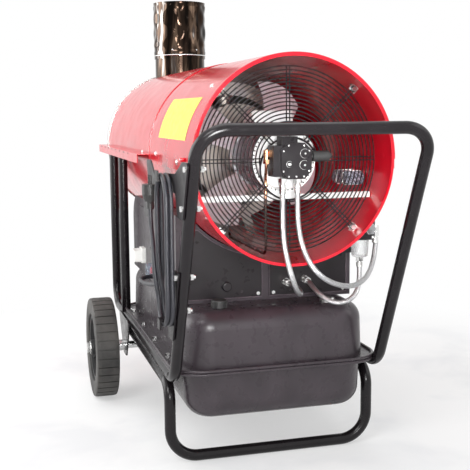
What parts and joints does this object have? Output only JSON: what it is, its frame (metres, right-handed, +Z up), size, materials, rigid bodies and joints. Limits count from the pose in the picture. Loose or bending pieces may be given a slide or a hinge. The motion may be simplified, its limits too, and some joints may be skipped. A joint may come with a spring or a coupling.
{
  "type": "forced air heater",
  "caption": "Mobile oil-fired forced air heater: cylindrical casing with fan and flue on a wheeled tube frame with a fuel tank.",
  "frame": {"origin": "on the floor, below the middle of the outline seen from above", "axes": "+Y along the casing towards the hot air outlet, +X to the right seen from the fan end, +Z up"},
  "size_m": [0.7046, 1.381, 1.098],
  "materials": {
    "casing": "gloss",
    "outlet_steel": "satin",
    "guard_black": "satin",
    "motor_grey": "cast",
    "motor_white": "satin",
    "black_plastic": "matte",
    "shaft_steel": "ground",
    "fan_silver": "satin",
    "cast_pump": "cast",
    "zinc": "zinc plated",
    "braid": "braided",
    "copper": "drawn",
    "black_paint": "satin",
    "clear_bowl": "clear",
    "inner_steel": "heat dulled",
    "flue_metal": "dark, pressed",
    "tank_paint": "satin",
    "lamp_red": "clear red",
    "clear_guard": "clear",
    "button_red": "gloss",
    "socket_white": "satin",
    "hook_paint": "satin",
    "cable_rubber": "matte",
    "frame_paint": "satin",
    "tyre_rubber": "matte",
    "rim_plastic": "matte"
  },
  "bodies": {
    "heater": {"rear_upper_shell": "casing", "rear_lower_shell": "casing", "front_upper_shell": "casing", "front_lower_shell": "casing", "outlet_cone": "outlet_steel", "inlet_guard": "guard_black", "guard_clips": "guard_black", "fan_motor": "motor_grey", "motor_end_shield": "motor_white", "terminal_box": "motor_white", "motor_bar": "motor_white", "run_capacitor": "black_plastic", "power_plug": "black_plastic", "pump_solenoid": "black_plastic", "axle": "shaft_steel", "oil_pump": "cast_pump", "pump_adapter": "cast_pump", "hose_fittings": "zinc", "axle_nuts": "zinc", "fasteners": "zinc", "tank_fittings": "zinc", "return_hose": "braid", "feed_hose": "braid", "tank_hose": "braid", "nozzle_pipe": "copper", "filter_bracket": "black_paint", "filter_head": "black_paint", "housing": "black_paint", "rear_panels": "black_paint", "control_panel": "black_paint", "filter_bowl": "clear_bowl", "burner_tube": "inner_steel", "combustion_chamber": "inner_steel", "heat_exchanger": "inner_steel", "flue_collar": "flue_metal", "flue_pipe": "flue_metal", "tank_upper": "tank_paint", "tank_lower": "tank_paint", "signal_lamp": "lamp_red", "reset_guard": "clear_guard", "thermostat_socket": "socket_white", "cable_hooks": "hook_paint", "cable_hank": "cable_rubber", "cable_lead": "cable_rubber", "cable_tail": "cable_rubber", "handle_frame": "frame_paint", "side_tubes": "frame_paint", "middle_posts": "frame_paint", "foot_frame": "frame_paint", "axle_brackets": "frame_paint"},
    "fan_rotor": {"fan": "fan_silver", "fan_shaft": "shaft_steel"},
    "left_wheel": {"left_tyre": "tyre_rubber", "left_rim": "rim_plastic"},
    "right_wheel": {"right_tyre": "tyre_rubber", "right_rim": "rim_plastic"},
    "fuel_cap": {"filler_cap": "black_plastic"},
    "shutoff_valve": {"filter_valve": "black_plastic"},
    "rocker_switch": {"main_switch": "black_plastic"},
    "reset": {"reset_button": "button_red"}
  },
  "joints": [
    {"name": "fan_spin", "type": "hinge", "parent": "heater", "child": "fan_rotor", "pos_m": [0, -0.268, 0.669], "axis": [0, 1, 0], "continuous": true},
    {"name": "left_wheel_roll", "type": "hinge", "parent": "heater", "child": "left_wheel", "pos_m": [-0.31, 0.162, 0.134], "axis": [1, 0, 0], "continuous": true},
    {"name": "right_wheel_roll", "type": "hinge", "parent": "heater", "child": "right_wheel", "pos_m": [0.31, 0.162, 0.134], "axis": [1, 0, 0], "continuous": true},
    {"name": "fuel_cap_turn", "type": "hinge", "parent": "heater", "child": "fuel_cap", "pos_m": [-0.122, -0.392, 0.355], "axis": [0, 0, 1], "range_deg": [0, 90]},
    {"name": "shutoff_valve_turn", "type": "hinge", "parent": "heater", "child": "shutoff_valve", "pos_m": [0.201, -0.46, 0.513], "axis": [0, 1, 0], "range_deg": [0, 90]},
    {"name": "rocker_switch_tilt", "type": "hinge", "parent": "heater", "child": "rocker_switch", "pos_m": [-0.21, -0.08, 0.425], "axis": [0, 1, 0], "range_deg": [0, 16]},
    {"name": "reset_press", "type": "slide", "parent": "heater", "child": "reset", "axis": [1, 0, 0], "range_m": [0, 0.0035], "stiffness_N_per_m": 400}
  ]
}
